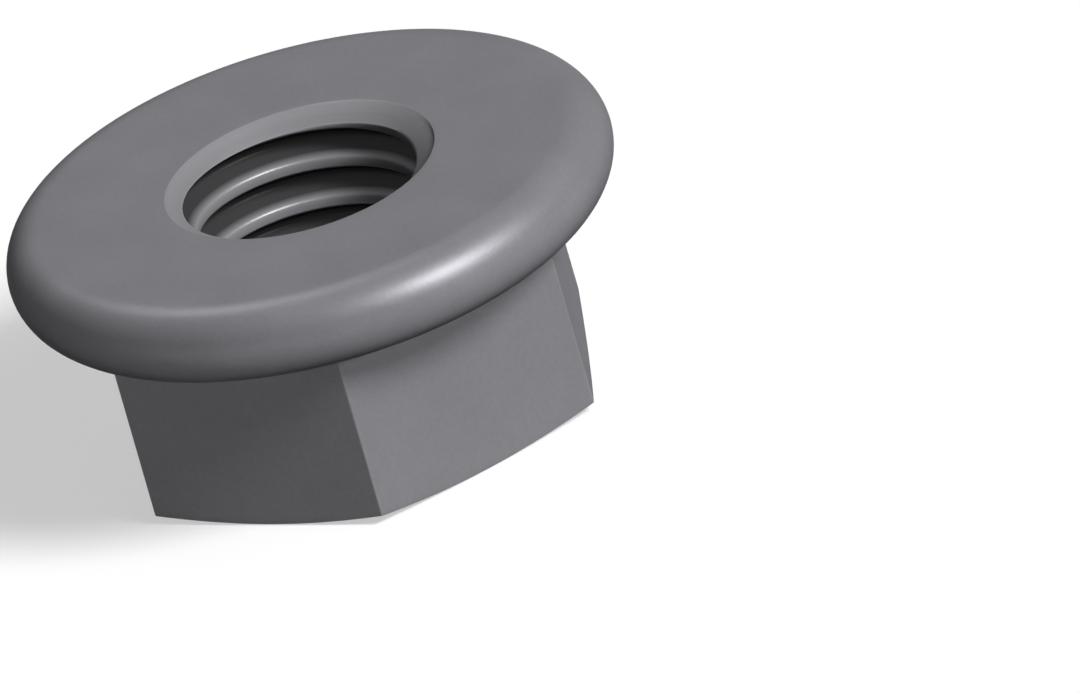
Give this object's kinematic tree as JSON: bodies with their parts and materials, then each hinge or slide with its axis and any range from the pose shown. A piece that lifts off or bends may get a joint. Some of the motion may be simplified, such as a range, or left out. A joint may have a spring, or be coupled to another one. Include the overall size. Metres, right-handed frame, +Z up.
{
  "type": "hexagon flange nut",
  "caption": "Hexagon nut with a round full-radius flange forged on one end and a threaded bore countersunk at both faces, for clamping without a washer.",
  "frame": {"origin": "centre of the hexagon's end face, on the thread axis", "axes": "+Z up the thread axis from the hexagon's end to the flange's bearing face, +X square to a wrench flat, +Y through a hexagon corner"},
  "size_m": [0.0178, 0.0178, 0.008],
  "materials": {
    "steel": "satin"
  },
  "bodies": {
    "root": {"flange_nut": "steel"}
  },
  "joints": []
}
